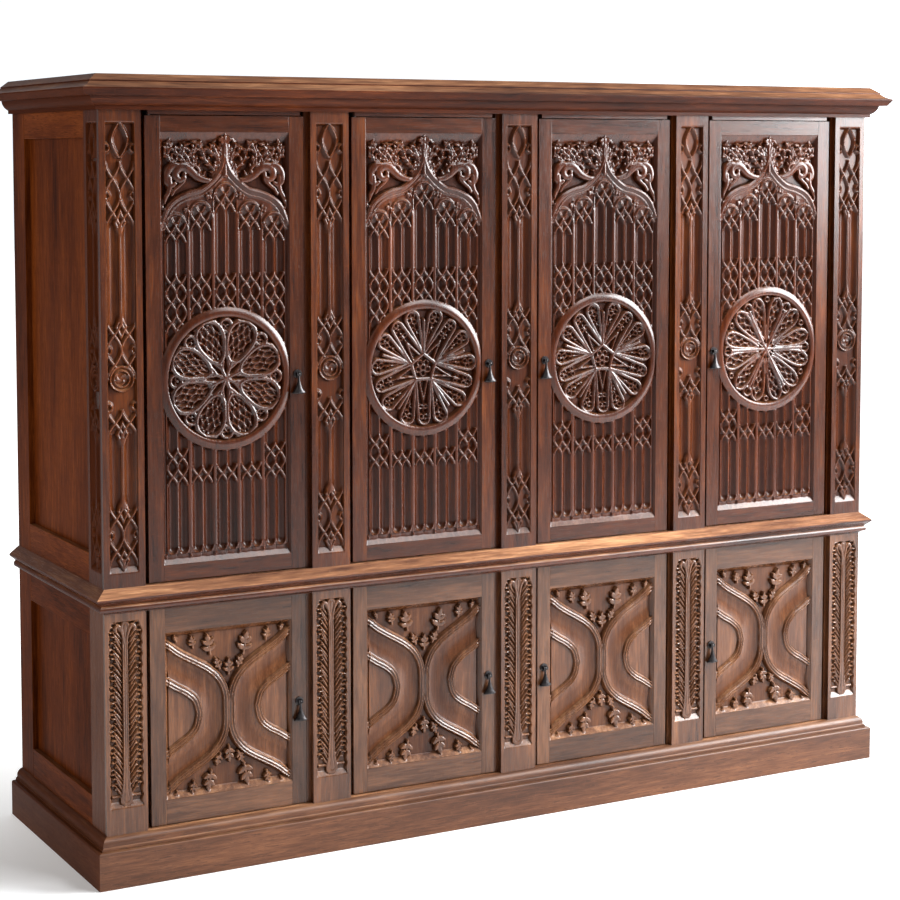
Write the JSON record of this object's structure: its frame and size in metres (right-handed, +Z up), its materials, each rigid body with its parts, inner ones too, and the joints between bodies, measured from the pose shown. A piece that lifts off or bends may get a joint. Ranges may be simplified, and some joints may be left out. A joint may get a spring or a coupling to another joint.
{
  "type": "cupboard",
  "caption": "Wide carved oak cupboard: low doors under tall doors between carved posts, with tracery and rosette panels, moulded plinth, waist and cornice, and iron drop pulls.",
  "frame": {"origin": "on the floor, under the middle of the overall box", "axes": "+Z up, the front with the doors faces -Y, +X to the right along the front when looking along +Y"},
  "size_m": [2.202, 0.659, 1.781],
  "materials": {
    "oak_case": "satin",
    "oak_door": "satin",
    "oak_carved": "satin",
    "oak_plinth": "satin",
    "oak_inside": "matte",
    "iron": "satin"
  },
  "bodies": {
    "carcass": {"plinth_frame": "oak_plinth", "plinth_moulding": "oak_case", "lower_bottom_board": "oak_case", "lower_top_board": "oak_case", "upper_bottom_board": "oak_case", "upper_top_board": "oak_case", "lower_end_left": "oak_case", "lower_end_right": "oak_case", "upper_end_left": "oak_case", "upper_end_right": "oak_case", "lower_posts": "oak_carved", "upper_posts": "oak_carved", "partitions": "oak_inside", "lower_back": "oak_inside", "upper_back": "oak_inside", "shelves_and_bearers": "oak_inside", "waist_moulding": "oak_case", "cornice_moulding": "oak_case", "cornice_top_board": "oak_inside", "pivot_sockets": "iron"},
    "lower_door_1": {"lower_door_1_frame": "oak_door", "lower_door_1_panel": "oak_carved", "lower_door_1_pivots": "iron", "lower_door_1_pull_plate": "iron"},
    "lower_door_1_drop": {"lower_door_1_pull": "iron"},
    "lower_door_2": {"lower_door_2_frame": "oak_door", "lower_door_2_panel": "oak_carved", "lower_door_2_pivots": "iron", "lower_door_2_pull_plate": "iron"},
    "lower_door_2_drop": {"lower_door_2_pull": "iron"},
    "lower_door_3": {"lower_door_3_frame": "oak_door", "lower_door_3_panel": "oak_carved", "lower_door_3_pivots": "iron", "lower_door_3_pull_plate": "iron"},
    "lower_door_3_drop": {"lower_door_3_pull": "iron"},
    "lower_door_4": {"lower_door_4_frame": "oak_door", "lower_door_4_panel": "oak_carved", "lower_door_4_pivots": "iron", "lower_door_4_pull_plate": "iron"},
    "lower_door_4_drop": {"lower_door_4_pull": "iron"},
    "upper_door_1": {"upper_door_1_frame": "oak_door", "upper_door_1_panel": "oak_carved", "upper_door_1_pivots": "iron", "upper_door_1_pull_plate": "iron"},
    "upper_door_1_drop": {"upper_door_1_pull": "iron"},
    "upper_door_2": {"upper_door_2_frame": "oak_door", "upper_door_2_panel": "oak_carved", "upper_door_2_pivots": "iron", "upper_door_2_pull_plate": "iron"},
    "upper_door_2_drop": {"upper_door_2_pull": "iron"},
    "upper_door_3": {"upper_door_3_frame": "oak_door", "upper_door_3_panel": "oak_carved", "upper_door_3_pivots": "iron", "upper_door_3_pull_plate": "iron"},
    "upper_door_3_drop": {"upper_door_3_pull": "iron"},
    "upper_door_4": {"upper_door_4_frame": "oak_door", "upper_door_4_panel": "oak_carved", "upper_door_4_pivots": "iron", "upper_door_4_pull_plate": "iron"},
    "upper_door_4_drop": {"upper_door_4_pull": "iron"}
  },
  "joints": [
    {"name": "lower_door_1_turn", "type": "hinge", "parent": "carcass", "child": "lower_door_1", "pos_m": [-0.9285, -0.2545, 0.359], "axis": [0, 0, -1], "range_deg": [0, 110]},
    {"name": "lower_door_1_pull_swing", "type": "hinge", "parent": "lower_door_1", "child": "lower_door_1_drop", "pos_m": [-0.5795, -0.2755, 0.355], "axis": [-1, 0, 0], "range_deg": [0, 85]},
    {"name": "lower_door_2_turn", "type": "hinge", "parent": "carcass", "child": "lower_door_2", "pos_m": [-0.4275, -0.2545, 0.359], "axis": [0, 0, -1], "range_deg": [0, 110]},
    {"name": "lower_door_2_pull_swing", "type": "hinge", "parent": "lower_door_2", "child": "lower_door_2_drop", "pos_m": [-0.0785, -0.2755, 0.355], "axis": [-1, 0, 0], "range_deg": [0, 85]},
    {"name": "lower_door_3_turn", "type": "hinge", "parent": "carcass", "child": "lower_door_3", "pos_m": [0.4275, -0.2545, 0.359], "axis": [0, 0, 1], "range_deg": [0, 110]},
    {"name": "lower_door_3_pull_swing", "type": "hinge", "parent": "lower_door_3", "child": "lower_door_3_drop", "pos_m": [0.0785, -0.2755, 0.355], "axis": [-1, 0, 0], "range_deg": [0, 85]},
    {"name": "lower_door_4_turn", "type": "hinge", "parent": "carcass", "child": "lower_door_4", "pos_m": [0.9285, -0.2545, 0.359], "axis": [0, 0, 1], "range_deg": [0, 110]},
    {"name": "lower_door_4_pull_swing", "type": "hinge", "parent": "lower_door_4", "child": "lower_door_4_drop", "pos_m": [0.5795, -0.2755, 0.355], "axis": [-1, 0, 0], "range_deg": [0, 85]},
    {"name": "upper_door_1_turn", "type": "hinge", "parent": "carcass", "child": "upper_door_1", "pos_m": [-0.9285, -0.2545, 1.1785], "axis": [0, 0, -1], "range_deg": [0, 110]},
    {"name": "upper_door_1_pull_swing", "type": "hinge", "parent": "upper_door_1", "child": "upper_door_1_drop", "pos_m": [-0.5795, -0.2755, 1.111], "axis": [-1, 0, 0], "range_deg": [0, 85]},
    {"name": "upper_door_2_turn", "type": "hinge", "parent": "carcass", "child": "upper_door_2", "pos_m": [-0.4275, -0.2545, 1.1785], "axis": [0, 0, -1], "range_deg": [0, 110]},
    {"name": "upper_door_2_pull_swing", "type": "hinge", "parent": "upper_door_2", "child": "upper_door_2_drop", "pos_m": [-0.0785, -0.2755, 1.111], "axis": [-1, 0, 0], "range_deg": [0, 85]},
    {"name": "upper_door_3_turn", "type": "hinge", "parent": "carcass", "child": "upper_door_3", "pos_m": [0.4275, -0.2545, 1.1785], "axis": [0, 0, 1], "range_deg": [0, 110]},
    {"name": "upper_door_3_pull_swing", "type": "hinge", "parent": "upper_door_3", "child": "upper_door_3_drop", "pos_m": [0.0785, -0.2755, 1.111], "axis": [-1, 0, 0], "range_deg": [0, 85]},
    {"name": "upper_door_4_turn", "type": "hinge", "parent": "carcass", "child": "upper_door_4", "pos_m": [0.9285, -0.2545, 1.1785], "axis": [0, 0, 1], "range_deg": [0, 110]},
    {"name": "upper_door_4_pull_swing", "type": "hinge", "parent": "upper_door_4", "child": "upper_door_4_drop", "pos_m": [0.5795, -0.2755, 1.111], "axis": [-1, 0, 0], "range_deg": [0, 85]}
  ]
}
